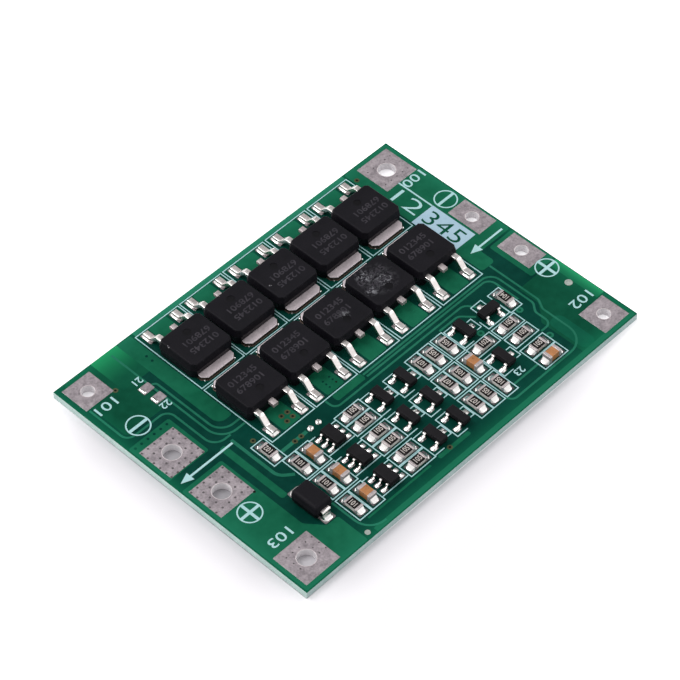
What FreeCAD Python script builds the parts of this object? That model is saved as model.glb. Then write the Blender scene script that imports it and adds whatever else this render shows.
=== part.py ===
import FreeCAD
import Part
import Sketcher
import os
from math import atan2, pi, sin, tan

# Battery management board for a pack of three cells, lying on its underside.
# Millimetres and degrees. X runs along the board, Y towards the power transistors and Z up.
# The origin is at the middle of the board's underside.

SIZES = {
    # The laminate
    "board_length": 55.0,
    "board_width": 40.0,
    "board_thickness": 1.0,
    # The plated wire terminals: a land on each face, joined by a plated barrel
    "land_thickness": 0.12,
    "land_proud": 0.03,
    "barrel_wall": 0.16,
    "land_margin": 0.7,
    "power_land_width": 5.2,
    "power_land_length": 5.1,
    "power_hole": 2.2,
    "tap_land_width": 4.2,
    "tap_land_length": 4.1,
    "tap_hole": 1.6,
    "charge_land_width": 3.1,
    "charge_land_length": 5.05,
    "charge_hole": 1.6,
    "charge_margin": 0.35,
    "supply_gap": 2.75,
    "supply_middle": 0.15,
    # The power transistors: a drafted moulding on a metal tab, with two formed leads and a cut stub
    "power_body_width": 6.6,
    "power_body_length": 6.1,
    "power_body_height": 2.3,
    "power_parting": 1.3,
    "power_top_draft": 15.0,
    "power_foot_draft": 7.0,
    "power_ear_width": 0.55,
    "power_ear_length": 0.65,
    "power_corner": 0.5,
    "power_edge_round": 0.15,
    "ejector_diameter": 1.0,
    "ejector_depth": 0.05,
    "ejector_offset": 1.4,
    "tab_width": 5.35,
    "tab_thickness": 0.5,
    "tab_overhang": 1.05,
    "tab_corner": 0.6,
    "tab_inside": 1.9,
    "power_lead_width": 0.76,
    "power_lead_thickness": 0.5,
    "power_lead_pitch": 4.57,
    "power_lead_reach": 2.95,
    "power_lead_shoulder": 0.55,
    "power_lead_foot": 1.05,
    "power_lead_bend": 0.45,
    "power_lead_inside": 0.6,
    "power_stub_reach": 0.85,
    "power_stub_rise": 0.45,
    # The two rows of power transistors, back to back along a seam
    "power_first": -12.05,
    "power_lane": 0.45,
    "power_seam": 8.2,
    "power_seam_gap": 0.38,
    # The protection circuits, one for each cell
    "circuit_width": 1.6,
    "circuit_length": 2.8,
    "circuit_span": 2.8,
    "circuit_height": 1.05,
    "circuit_pitch": 0.95,
    # The small transistors
    "small_width": 1.25,
    "small_length": 2.8,
    "small_span": 2.4,
    "small_height": 1.0,
    "small_pitch": 0.95,
    # What the small moulded packages share
    "standoff": 0.1,
    "gull_parting": 0.58,
    "gull_draft": 10.0,
    "gull_width": 0.4,
    "gull_thickness": 0.14,
    "gull_foot": 0.38,
    "gull_shoulder": 0.12,
    "gull_inside": 0.25,
    # The surge diode
    "diode_width": 2.65,
    "diode_length": 3.95,
    "diode_height": 2.1,
    "diode_parting": 1.1,
    "diode_draft": 8.0,
    "diode_edge_round": 0.35,
    "diode_strap_width": 1.25,
    "diode_strap_thickness": 0.2,
    "diode_strap_reach": 0.4,
    "diode_strap_foot": 1.1,
    "diode_strap_inside": 0.4,
    "diode_strap_gap": 0.08,
    # The chip resistors and chip capacitors share one footprint
    "chip_length": 2.0,
    "chip_width": 1.25,
    "chip_plating": 0.05,
    "resistor_height": 0.55,
    "resistor_cap": 0.35,
    "glaze_margin": 0.06,
    "capacitor_height": 0.95,
    "capacitor_cap": 0.45,
    # The control rows: one row of small parts for each cell, set out from left to right
    "row_first": -7.45,
    "row_gap": 1.25,
    "filter_column": -15.6,
    "filter_lane": 0.85,
    "circuit_lane": 1.13,
    "level_lane": 1.65,
    "level_gap": 0.65,
    "driver_lane": 1.7,
    "driver_gap": 1.4,
    "gate_lane": 1.07,
    "gate_gap": 0.75,
    "bias_gap": 0.95,
    "supply_resistor_lane": 1.15,
    "supply_resistor_lift": 1.8,
    # The charge side: a column of resistors beside two transistors
    "switch_lane": 1.08,
    "bridge_lift": 1.05,
    "switch_drop": 2.0,
    "sense_column": 15.65,
    "sense_first": -10.45,
    "sense_gap": 0.85,
    "sense_pair_gap": 1.2,
    "detect_lift": 1.1,
    "detect_shift": -0.15,
    "side_lane": 0.93,
    # The surge diode's place
    "diode_lane": 1.17,
    "diode_drop": 0.68,
}

doc = FreeCAD.newDocument("battery_board")
sheet = doc.addObject("Spreadsheet::Sheet", "Sizes")
for row, (alias, size) in enumerate(SIZES.items(), 1):
    sheet.set(f"A{row}", alias)
    sheet.set(f"B{row}", str(size))
    sheet.setAlias(f"B{row}", alias)
doc.recompute()


def bound(expression):
    """An expression with each size in it read from the sheet. Its words are set apart by spaces."""
    words = expression.replace("(", " ( ").replace(")", " ) ").split()
    return " ".join(f"Sizes.{word}" if word in SIZES else word for word in words)


def value(expression):
    """What an expression comes to with the sheet's present sizes."""
    return float(sheet.evalExpression(bound(expression)))


def bind(thing, **expressions):
    """Binds properties of an object, named with two underscores for a dot, to expressions."""
    for name, expression in expressions.items():
        thing.setExpression(name.replace("__", "."), bound(expression))
    return thing


def origin_plane(body, role):
    """The plane of a body's own origin that has this role."""
    return next(plane for plane in body.Origin.OriginFeatures if plane.Role == role)


def new_sketch(body, name, role, offset="0"):
    """A sketch on one of the body's origin planes, set off along that plane's normal."""
    sketch = body.newObject("Sketcher::SketchObject", name)
    sketch.AttachmentSupport = [(origin_plane(body, role), "")]
    sketch.MapMode = "FlatFace"
    return bind(sketch, AttachmentOffset__Base__z=offset)


def hold(sketch, geometry, corner, across, up):
    """Holds one point of a sketch at two expressions, measured from the sketch's origin."""
    for kind, axis, expression in (("DistanceX", -2, across), ("DistanceY", -1, up)):
        if expression == "0":
            sketch.addConstraint(Sketcher.Constraint("PointOnObject", geometry, corner, axis))
        else:
            start = Sketcher.Constraint(kind, -1, 1, geometry, corner, value(expression))
            number = sketch.addConstraint(start)
            sketch.setExpression(f"Constraints[{number}]", bound(expression))


def draw_outline(sketch, corners):
    """A closed outline of straight lines through corners, each a pair of expressions."""
    places = [FreeCAD.Vector(value(across), value(up), 0) for across, up in corners]
    for start, end in zip(places, places[1:] + places[:1]):
        sketch.addGeometry(Part.LineSegment(start, end))
    for number, (across, up) in enumerate(corners):
        before = (number - 1) % len(corners)
        sketch.addConstraint(Sketcher.Constraint("Coincident", before, 2, number, 1))
        hold(sketch, number, 1, across, up)


def draw_circle(sketch, across, up, diameter):
    """A circle with its centre at two expressions."""
    centre = FreeCAD.Vector(value(across), value(up), 0)
    circle = Part.Circle(centre, FreeCAD.Vector(0, 0, 1), value(diameter) / 2)
    number = sketch.addGeometry(circle)
    hold(sketch, number, 3, across, up)
    size = sketch.addConstraint(Sketcher.Constraint("Diameter", number, value(diameter)))
    sketch.setExpression(f"Constraints[{size}]", bound(diameter))


def pad(body, name, sketch, length, **more):
    """Pads a sketch by one length, or by two with a draft each."""
    feature = body.newObject("PartDesign::Pad", name)
    feature.Profile = sketch
    bind(feature, Length=length, **more)
    return feature


def drafted_block(body, sketch, above, below, top_draft, foot_draft):
    """The moulding of a package: it narrows both ways from its parting line."""
    block = body.newObject("PartDesign::Pad", "Moulding")
    block.Profile = sketch
    block.SideType = "Two sides"
    bind(block, Length=above, Length2=below, TaperAngle=f"0 - {top_draft}",
         TaperAngle2=f"0 - {foot_draft}")
    return block


def rectangle(width, length):
    """The corners of a rectangle about the sketch's origin."""
    return [(f"0 - {width} / 2", f"0 - {length} / 2"), (f"{width} / 2", f"0 - {length} / 2"),
            (f"{width} / 2", f"{length} / 2"), (f"0 - {width} / 2", f"{length} / 2")]


def box(name, width, length, height, x="0", y="0", z="0"):
    """A block centred on x and y that stands on z."""
    block = doc.addObject("Part::Box", name)
    return bind(block, Length=width, Width=length, Height=height,
                Placement__Base__x=f"{x} - ( {width} ) / 2",
                Placement__Base__y=f"{y} - ( {length} ) / 2", Placement__Base__z=z)


def cylinder(name, diameter, height, x="0", y="0", z="0"):
    """A round rod that stands on z."""
    rod = doc.addObject("Part::Cylinder", name)
    return bind(rod, Radius=f"( {diameter} ) / 2", Height=height, Placement__Base__x=x,
                Placement__Base__y=y, Placement__Base__z=z)


def join(name, pieces):
    """Pieces fused into one solid."""
    fused = doc.addObject("Part::MultiFuse", name)
    fused.Shapes = pieces
    fused.Refine = True
    return fused


def cut(name, base, tool):
    """One piece with the space of another taken out of it."""
    rest = doc.addObject("Part::Cut", name)
    rest.Base = base
    rest.Tool = tool
    return rest


def group(name, pieces, x="0", y="0", z="0", turn=0):
    """Separate solids kept together, turned about Z and then moved."""
    held = doc.addObject("Part::Compound", name)
    held.Links = pieces
    upright = FreeCAD.Vector(0, 0, 1)
    held.Placement = FreeCAD.Placement(FreeCAD.Vector(), FreeCAD.Rotation(upright, turn))
    return bind(held, Placement__Base__x=x, Placement__Base__y=y, Placement__Base__z=z)


def terminal_blank(name, kind, x, y):
    """A terminal before its hole is drilled: a land on each face and the barrel between."""
    top = box(f"{name}_top", f"{kind}_land_width", f"{kind}_land_length", "land_thickness",
              x, y, "board_thickness + land_proud - land_thickness")
    foot = box(f"{name}_foot", f"{kind}_land_width", f"{kind}_land_length", "land_thickness", x, y)
    barrel = cylinder(f"{name}_barrel", f"{kind}_hole + 2 * barrel_wall", "board_thickness", x, y)
    return join(f"{name}_blank", [top, foot, barrel])


def terminal(name, kind, blank, x, y):
    """The blank with its wire hole through it."""
    hole = cylinder(f"{name}_hole", f"{kind}_hole", "board_thickness + land_proud", x, y)
    return cut(name, blank, hole)


def power_outline():
    """The moulding at its parting line. Its corners are cut back, and longer at the tab."""
    side = "power_body_width / 2"
    end = "power_body_length / 2"
    return [(f"0 - {side} + power_corner", f"0 - {end}"), (f"{side} - power_corner", f"0 - {end}"),
            (side, f"0 - {end} + power_corner"), (side, f"{end} - power_ear_length"),
            (f"{side} - power_ear_width", end), (f"0 - {side} + power_ear_width", end),
            (f"0 - {side}", f"{end} - power_ear_length"), (f"0 - {side}", f"0 - {end} + power_corner")]


def top_face(shape):
    """The name of a shape's highest level face."""
    level = [number for number, face in enumerate(shape.Faces, 1) if face.BoundBox.ZLength < 1e-6]
    highest = max(level, key=lambda number: shape.Faces[number - 1].BoundBox.ZMax)
    return f"Face{highest}"


def round_top(body, block, radius):
    """Rounds the edges of a block's top."""
    doc.recompute()
    edge = body.newObject("PartDesign::Fillet", "Top_edges")
    edge.Base = (block, [top_face(block.Shape)])
    bind(edge, Radius=radius)


def power_moulding():
    """The black moulding, with rounded top edges and the mark that the ejector pin leaves."""
    body = doc.addObject("PartDesign::Body", "Power_moulding")
    sketch = new_sketch(body, "Power_outline", "XY_Plane", "power_parting")
    draw_outline(sketch, power_outline())
    block = drafted_block(body, sketch, "power_body_height - power_parting", "power_parting",
                          "power_top_draft", "power_foot_draft")
    round_top(body, block, "power_edge_round")
    mark = new_sketch(body, "Ejector_mark", "XY_Plane", "power_body_height")
    draw_circle(mark, "0", "0 - ejector_offset", "ejector_diameter")
    recess = body.newObject("PartDesign::Pocket", "Ejector_recess")
    recess.Profile = mark
    bind(recess, Length="ejector_depth")
    return body


def power_tab():
    """The tab that carries the chip, with the middle lead bent up from it and cut short."""
    body = doc.addObject("PartDesign::Body", "Power_tab")
    plate = new_sketch(body, "Tab_outline", "XY_Plane")
    side = "tab_width / 2"
    end = "power_body_length / 2 + tab_overhang"
    draw_outline(plate, [
        (f"0 - {side}", "0 - tab_inside"), (side, "0 - tab_inside"),
        (side, f"{end} - tab_corner"), (f"{side} - tab_corner", end),
        (f"0 - {side} + tab_corner", end), (f"0 - {side}", f"{end} - tab_corner"),
    ])
    pad(body, "Tab_plate", plate, "tab_thickness")
    stub = new_sketch(body, "Stub_outline", "YZ_Plane")
    tip = "0 - power_body_length / 2 - power_stub_reach"
    under = "power_parting - power_lead_thickness / 2"
    over = "power_parting + power_lead_thickness / 2"
    draw_outline(stub, [
        ("power_stub_rise - tab_inside", "tab_thickness"), ("0 - power_stub_rise - tab_inside", over),
        (tip, over), (tip, under), ("0 - power_stub_rise - tab_inside", under),
        ("0 - tab_inside", "tab_thickness"), ("0 - tab_inside", "0"),
        ("power_stub_rise - tab_inside", "0"),
    ])
    lead = pad(body, "Stub", stub, "power_lead_width")
    lead.SideType = "Symmetric"
    return body


def power_lead():
    """An outer lead, formed down to its foot: a flat strip swept along two tangent bends."""
    body = doc.addObject("PartDesign::Body", "Power_lead")
    root = "power_lead_inside - power_body_length / 2"
    tip = "0 - power_body_length / 2 - power_lead_reach"
    middle = "power_lead_thickness / 2"
    path = new_sketch(body, "Lead_path", "YZ_Plane")
    shoulder_end = f"{root} - power_lead_inside - power_lead_shoulder"
    start = FreeCAD.Vector(value(root), value("power_parting"), 0)
    knee = FreeCAD.Vector(value(shoulder_end) - 0.1, start.y, 0)
    heel = FreeCAD.Vector(value(f"{tip} + power_lead_foot") + 0.1, value(middle), 0)
    end = FreeCAD.Vector(value(tip), heel.y, 0)
    draw_bent_path(path, [start, knee, heel, end], value("power_lead_bend"))
    hold(path, 2, 1, root, "power_parting")
    hold(path, 4, 2, tip, middle)
    for number, length in ((2, "power_lead_inside + power_lead_shoulder"), (4, "power_lead_foot")):
        path.addConstraint(Sketcher.Constraint("Horizontal", number))
        size = path.addConstraint(Sketcher.Constraint("Distance", number, value(length)))
        path.setExpression(f"Constraints[{size}]", bound(length))
    for number in (0, 1):
        size = path.addConstraint(Sketcher.Constraint("Radius", number, value("power_lead_bend")))
        path.setExpression(f"Constraints[{size}]", bound("power_lead_bend"))
    section = new_sketch(body, "Lead_section", "XZ_Plane", f"0 - ( {root} )")
    half = "power_lead_width / 2"
    low = "power_parting - power_lead_thickness / 2"
    high = "power_parting + power_lead_thickness / 2"
    draw_outline(section, [(f"0 - {half}", low), (half, low), (half, high), (f"0 - {half}", high)])
    doc.recompute()
    strip = body.newObject("PartDesign::AdditivePipe", "Lead_strip")
    strip.Profile = section
    strip.Spine = (path, [f"Edge{number}" for number in range(1, 6)])
    return body


def draw_bend(sketch, before, corner, after, radius):
    """An arc that rounds a corner. Returns its number, where it leaves the first run and meets the
    next, and the arc's own ends there. An arc runs anticlockwise, so a right turn is drawn backwards."""
    back = (before - corner).normalize()
    forth = (after - corner).normalize()
    half = back.getAngle(forth) / 2
    reach = radius / tan(half)
    centre = corner + (back + forth).normalize() * (radius / sin(half))
    leave = corner + back * reach
    meet = corner + forth * reach
    left_turn = forth.cross(back).z > 0
    first, last = (leave, meet) if left_turn else (meet, leave)
    start = atan2(first.y - centre.y, first.x - centre.x)
    circle = Part.Circle(centre, FreeCAD.Vector(0, 0, 1), radius)
    number = sketch.addGeometry(Part.ArcOfCircle(circle, start, start + pi - 2 * half))
    return number, leave, meet, ((1, 2) if left_turn else (2, 1))


def draw_bent_path(sketch, corners, radius):
    """Three runs joined by two arcs, each arc tangent to the runs beside it. The runs are the
    sketch's geometries 2 to 4, and the arcs 0 and 1."""
    root, knee, heel, tip = corners
    bend_1, leave_1, meet_1, ends_1 = draw_bend(sketch, root, knee, heel, radius)
    bend_2, leave_2, meet_2, ends_2 = draw_bend(sketch, knee, heel, tip, radius)
    for start, end in ((root, leave_1), (meet_1, leave_2), (meet_2, tip)):
        sketch.addGeometry(Part.LineSegment(start, end))
    for bend, ends, before in ((bend_1, ends_1, 2), (bend_2, ends_2, 3)):
        sketch.addConstraint(Sketcher.Constraint("Tangent", before, 2, bend, ends[0]))
        sketch.addConstraint(Sketcher.Constraint("Tangent", bend, ends[1], before + 1, 1))


def power_package():
    """A power transistor: the moulding closes round its tab and leads."""
    tab = power_tab()
    lead = power_lead()
    leads = [group(f"Power_lead_{side}", [lead], x=f"{sign} * power_lead_pitch / 2")
             for side, sign in (("left", -1), ("right", 1))]
    metal = group("Power_metal", [tab, *leads])
    moulding = cut("Power_moulding_cut", power_moulding(), metal)
    return group("Power_package", [moulding, tab, *leads])


def gull_lead(name, width, span):
    """A small lead on the +X side: out of the moulding, down, and out again along the board."""
    body = doc.addObject("PartDesign::Body", name)
    sketch = new_sketch(body, f"{name}_outline", "XZ_Plane")
    root = f"{width} / 2 - gull_inside"
    knee = f"{width} / 2 + gull_shoulder"
    heel = f"{span} / 2 - gull_foot"
    tip = f"{span} / 2"
    over = "gull_parting + gull_thickness / 2"
    under = "gull_parting - gull_thickness / 2"
    draw_outline(sketch, [
        (root, under), (f"{knee} - gull_thickness / 2", under), (f"{heel} - gull_thickness / 2", "0"),
        (tip, "0"), (tip, "gull_thickness"), (f"{heel} + gull_thickness / 2", "gull_thickness"),
        (f"{knee} + gull_thickness / 2", over), (root, over),
    ])
    strip = pad(body, f"{name}_strip", sketch, "gull_width")
    strip.SideType = "Symmetric"
    return body


def small_moulding(name, width, length, height):
    """A small drafted moulding that stands just clear of the board."""
    body = doc.addObject("PartDesign::Body", name)
    sketch = new_sketch(body, f"{name}_outline", "XY_Plane", "gull_parting")
    draw_outline(sketch, rectangle(width, length))
    drafted_block(body, sketch, f"{height} - gull_parting", "gull_parting - standoff",
                  "gull_draft", "gull_draft")
    return body


def gull_package(name, size, places):
    """A small package. places gives each lead's side, -1 or 1, and its place along the side."""
    lead = gull_lead(f"{name}_lead", f"{size}_width", f"{size}_span")
    leads = [group(f"{name}_lead_{number}", [lead], y=place, turn=0 if side > 0 else 180)
             for number, (side, place) in enumerate(places, 1)]
    metal = group(f"{name}_metal", leads)
    moulding = small_moulding(f"{name}_moulding", f"{size}_width", f"{size}_length", f"{size}_height")
    return group(f"{name}_package", [cut(f"{name}_moulding_cut", moulding, metal), *leads])


def diode_package():
    """The surge diode: a moulding that sits on two straps bent under its ends."""
    body = doc.addObject("PartDesign::Body", "Diode_moulding")
    sketch = new_sketch(body, "Diode_outline", "XY_Plane", "diode_parting")
    draw_outline(sketch, rectangle("diode_width", "diode_length"))
    block = drafted_block(body, sketch, "diode_height - diode_parting",
                          "diode_parting - diode_strap_thickness - diode_strap_gap",
                          "diode_draft", "diode_draft")
    round_top(body, block, "diode_edge_round")
    strap = doc.addObject("PartDesign::Body", "Diode_strap")
    bend = new_sketch(strap, "Strap_outline", "YZ_Plane")
    outside = "diode_length / 2 + diode_strap_reach"
    inside = f"{outside} - diode_strap_thickness"
    root = "diode_length / 2 - diode_strap_inside"
    over = "diode_parting + diode_strap_thickness / 2"
    under = "diode_parting - diode_strap_thickness / 2"
    draw_outline(bend, [
        (root, under), (inside, under), (inside, "diode_strap_thickness"),
        (f"{outside} - diode_strap_foot", "diode_strap_thickness"), (f"{outside} - diode_strap_foot", "0"),
        (outside, "0"), (outside, over), (root, over),
    ])
    strip = pad(strap, "Strap_strip", bend, "diode_strap_width")
    strip.SideType = "Symmetric"
    straps = [group("Diode_strap_back", [strap]), group("Diode_strap_front", [strap], turn=180)]
    moulding = cut("Diode_moulding_cut", body, group("Diode_metal", straps))
    return group("Diode_package", [moulding, *straps])


def chip_package(name, height, cap, core_width, cover):
    """A chip part along X: a ceramic core between two plated end caps, with a cover if it has one."""
    core = box(f"{name}_core", "chip_length - 2 * chip_plating", core_width,
               f"{height} - 2 * chip_plating", z="chip_plating")
    shift = f"( chip_length - {cap} ) / 2"
    ends = []
    for side, sign in (("left", "0 -"), ("right", "0 +")):
        blank = box(f"{name}_blank_{side}", cap, "chip_width", height, x=f"{sign} {shift}")
        ends.append(cut(f"{name}_cap_{side}", blank, core))
    pieces = [core, *ends]
    if cover:
        pieces.append(box(f"{name}_glaze", f"chip_length - 2 * {cap}", "chip_width - 2 * glaze_margin",
                          "chip_plating", z=f"{height} - chip_plating"))
    return group(f"{name}_package", pieces)


def terminal_places():
    """Each terminal with its kind and place. They keep to the board's edges and corners."""
    left = "0 - board_length / 2 + land_margin"
    right = "board_length / 2 - land_margin"
    near = "0 - board_width / 2 + land_margin"
    far = "board_width / 2 - land_margin"
    step = "( power_land_length + supply_gap ) / 2"
    charge = "board_length / 2 - charge_margin - charge_land_width / 2"
    power = f"{left} + power_land_width / 2"
    return {
        "cell_1_terminal": ("tap", f"{left} + tap_land_width / 2", f"{far} - tap_land_length / 2"),
        "cell_2_terminal": ("tap", f"{right} - tap_land_width / 2", f"{near} + tap_land_length / 2"),
        "pack_plus_terminal": ("power", power, f"{near} + power_land_length / 2"),
        "pack_minus_terminal": ("power", f"{right} - power_land_width / 2",
                                f"{far} - power_land_length / 2"),
        "discharge_minus_terminal": ("power", power, f"supply_middle + {step}"),
        "discharge_plus_terminal": ("power", power, f"supply_middle - {step}"),
        "charge_minus_terminal": ("charge", charge, f"supply_middle + {step}"),
        "charge_plus_terminal": ("charge", charge, f"supply_middle - {step}"),
    }


def board_and_terminals():
    """The laminate, drilled and recessed for its terminals, and the terminals themselves."""
    places = terminal_places()
    blanks = {name: terminal_blank(name, *place) for name, place in places.items()}
    laminate = box("Laminate", "board_length", "board_width", "board_thickness")
    sockets = doc.addObject("Part::Compound", "Sockets")
    sockets.Links = list(blanks.values())
    nodes = {"circuit_board": cut("circuit_board", laminate, sockets)}
    for name, (kind, x, y) in places.items():
        nodes[name] = terminal(name, kind, blanks[name], x, y)
    return nodes


def power_places():
    """The two rows of power transistors. The far row is the near one turned round."""
    places = {}
    reach = "( power_seam_gap + tab_overhang + power_body_length / 2 )"
    for row, sign, turn in (("near", "-", 0), ("far", "+", 180)):
        for number in range(5):
            x = f"power_first + {number} * ( power_body_width + power_lane )"
            places[f"{row}_row_mosfet_{number + 1}"] = (x, f"power_seam {sign} {reach}", turn)
    return places


ROW_PITCH = "( circuit_length + row_gap )"
ROWS = [f"row_first - {number} * {ROW_PITCH}" for number in range(3)]
CAPACITOR_COLUMN = "filter_column + chip_width + filter_lane"
CIRCUIT_COLUMN = f"{CAPACITOR_COLUMN} + chip_width / 2 + circuit_lane + circuit_span / 2"
LEVEL_COLUMN = f"{CIRCUIT_COLUMN} + circuit_span / 2 + level_lane + chip_length / 2"
DISCHARGE_COLUMN = f"{LEVEL_COLUMN} + chip_length / 2 + driver_lane + small_span / 2"
CHARGE_COLUMN = f"{DISCHARGE_COLUMN} + small_span + driver_gap"
GATE_COLUMN = f"{CHARGE_COLUMN} + small_span / 2 + gate_lane + chip_width / 2"
PULL_COLUMN = f"{GATE_COLUMN} + chip_width + gate_gap"
BIAS_COLUMN = f"{PULL_COLUMN} + chip_width + bias_gap"
SWITCH_COLUMN = f"{BIAS_COLUMN} + chip_width / 2 + switch_lane + small_span / 2"
LEVEL_STEP = "( chip_width + level_gap ) / 2"
SENSE_ROWS = [
    "sense_first",
    "sense_first - chip_width - sense_gap",
    "sense_first - 2 * chip_width - sense_gap - sense_pair_gap",
    "sense_first - 3 * chip_width - 2 * sense_gap - sense_pair_gap",
]


def small_places():
    """The small parts: each name with its package, its place and its turn."""
    places = {}
    for number, row in enumerate(ROWS, 1):
        places[f"filter_resistor_{number}"] = ("resistor", "filter_column", row, 90)
        places[f"filter_capacitor_{number}"] = ("capacitor", CAPACITOR_COLUMN, row, 90)
        places[f"protection_ic_{number}"] = ("circuit", CIRCUIT_COLUMN, row, 0)
        places[f"level_resistor_{2 * number - 1}"] = ("resistor", LEVEL_COLUMN, f"{row} + {LEVEL_STEP}", 0)
        places[f"level_resistor_{2 * number}"] = ("resistor", LEVEL_COLUMN, f"{row} - {LEVEL_STEP}", 0)
        places[f"discharge_transistor_{number}"] = ("small", DISCHARGE_COLUMN, row, 0)
        places[f"charge_transistor_{number}"] = ("small", CHARGE_COLUMN, row, 0)
        places[f"gate_resistor_{number}"] = ("resistor", GATE_COLUMN, row, 90)
        places[f"pull_resistor_{number}"] = ("resistor", PULL_COLUMN, row, 90)
    places["bias_resistor_1"] = ("resistor", BIAS_COLUMN, ROWS[0], 90)
    places["bias_capacitor"] = ("capacitor", BIAS_COLUMN, ROWS[1], 90)
    places["bias_resistor_2"] = ("resistor", BIAS_COLUMN, ROWS[2], 90)
    places["switch_transistor_1"] = ("small", SWITCH_COLUMN, ROWS[0], 0)
    places["bridge_resistor"] = ("resistor", SWITCH_COLUMN, f"{ROWS[1]} + bridge_lift", 0)
    places["switch_transistor_2"] = ("small", SWITCH_COLUMN, f"{ROWS[1]} - switch_drop", 0)
    detect_row = "sense_first + chip_width / 2 + detect_lift + small_span / 2"
    places["detect_transistor"] = ("small", "sense_column + detect_shift", detect_row, 90)
    for number, row in enumerate(SENSE_ROWS[:3], 1):
        places[f"sense_resistor_{number}"] = ("resistor", "sense_column", row, 0)
    places["sense_capacitor"] = ("capacitor", "sense_column", SENSE_ROWS[3], 0)
    side = "sense_column + detect_shift + small_length / 2 + side_lane + chip_width / 2"
    places["side_resistor"] = ("resistor", side, ROWS[0], 90)
    supply_x = "filter_column - supply_resistor_lane"
    supply_y = "row_first + chip_length + supply_resistor_lift"
    places["supply_resistor"] = ("resistor", supply_x, supply_y, 90)
    diode_x = "filter_column - chip_width / 2 - diode_lane - diode_width / 2"
    places["surge_diode"] = ("diode", diode_x, f"{ROWS[1]} - diode_drop", 0)
    return places


def parts_of_the_board():
    """Every piece of the board, by name."""
    nodes = board_and_terminals()
    power = power_package()
    for name, (x, y, turn) in power_places().items():
        nodes[name] = group(name, [power], x, y, "board_thickness", turn)
    small_leads = [(-1, "0 - small_pitch"), (-1, "small_pitch"), (1, "0")]
    circuit_leads = [(side, f"{step} * circuit_pitch") for side in (-1, 1) for step in (-1, 0, 1)]
    packages = {
        "small": gull_package("Small", "small", small_leads),
        "circuit": gull_package("Circuit", "circuit", circuit_leads),
        "diode": diode_package(),
        "resistor": chip_package("Resistor", "resistor_height", "resistor_cap", "chip_width", True),
        "capacitor": chip_package("Capacitor", "capacitor_height", "capacitor_cap",
                                  "( chip_width - 2 * chip_plating )", False),
    }
    for name, (package, x, y, turn) in small_places().items():
        nodes[name] = group(name, [packages[package]], x, y, "board_thickness", turn)
    return nodes


def check(nodes):
    """Stops if any object failed, or if a piece has no valid shape."""
    for thing in doc.Objects:
        if {"Invalid", "Error"} & set(thing.State):
            raise RuntimeError(f"{thing.Label} failed: {thing.State}")
    for name, piece in nodes.items():
        if piece.Shape.isNull() or not piece.Shape.isValid() or not piece.Shape.Solids:
            raise RuntimeError(f"{name} has no valid solid")


nodes = parts_of_the_board()
doc.recompute()
check(nodes)
os.makedirs("parts", exist_ok=True)
for name, piece in nodes.items():
    piece.Label = name
    piece.Shape.exportStep(f"parts/{name}.step")
    print(name, len(piece.Shape.Solids), round(piece.Shape.Volume, 3))
print(len(nodes), "parts")
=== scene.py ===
import bpy
import numpy as np
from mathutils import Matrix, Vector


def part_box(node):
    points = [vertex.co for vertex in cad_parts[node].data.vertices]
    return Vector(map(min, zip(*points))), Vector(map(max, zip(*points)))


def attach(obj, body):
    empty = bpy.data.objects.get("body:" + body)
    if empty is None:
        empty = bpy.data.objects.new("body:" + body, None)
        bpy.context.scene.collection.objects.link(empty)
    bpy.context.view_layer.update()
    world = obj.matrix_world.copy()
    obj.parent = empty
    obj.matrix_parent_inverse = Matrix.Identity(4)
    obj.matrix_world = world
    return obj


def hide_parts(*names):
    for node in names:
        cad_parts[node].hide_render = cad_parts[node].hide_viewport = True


# The finished surfaces of a battery management board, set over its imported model.
# Lengths are in millimetres until a mesh is made. X runs along the board, Y towards the power
# transistors and Z up, from the middle of the board's underside. Layers on the board start at SUNK,
# just below its face, and each kind of layer has its own top.

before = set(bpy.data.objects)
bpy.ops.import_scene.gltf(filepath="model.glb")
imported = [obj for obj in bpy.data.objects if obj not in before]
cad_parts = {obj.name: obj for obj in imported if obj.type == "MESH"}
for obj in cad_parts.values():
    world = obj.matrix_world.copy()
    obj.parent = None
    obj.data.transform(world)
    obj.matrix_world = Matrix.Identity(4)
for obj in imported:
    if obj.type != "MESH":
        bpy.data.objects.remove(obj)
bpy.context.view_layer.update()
MM = 0.001
BOARD = np.array([55.0, 40.0, 1.0])
TOP = BOARD[2]
SUNK = TOP - 0.01
LAND_TOP = TOP + 0.03
MID_TOP = TOP + 0.006
POUR_TOP = TOP + 0.012
TRACK_TOP = TOP + 0.018
PRINT_TOP = TOP + 0.034


# Shapes: outlines in the plane, rings and sections, and the skins that join them

def unit(vectors):
    """The same directions with a length of one."""
    return vectors / np.linalg.norm(vectors, axis=-1, keepdims=True)


def rectangle(width, length, x=0.0, y=0.0):
    """The four corners of a rectangle about a point, anticlockwise."""
    return np.array([[-1, -1], [1, -1], [1, 1], [-1, 1]]) * (width / 2, length / 2) + (x, y)


def span(left, right, near, far):
    """The four corners of the rectangle between two lines across and two lines along."""
    return rectangle(right - left, far - near, (left + right) / 2, (near + far) / 2)


def circle(x, y, radius, steps=32):
    """Points round a circle: the centre plus the radius times the cosine and sine of the angle."""
    angle = np.arange(steps) * 2 * np.pi / steps
    return np.column_stack([x + radius * np.cos(angle), y + radius * np.sin(angle)])


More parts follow.
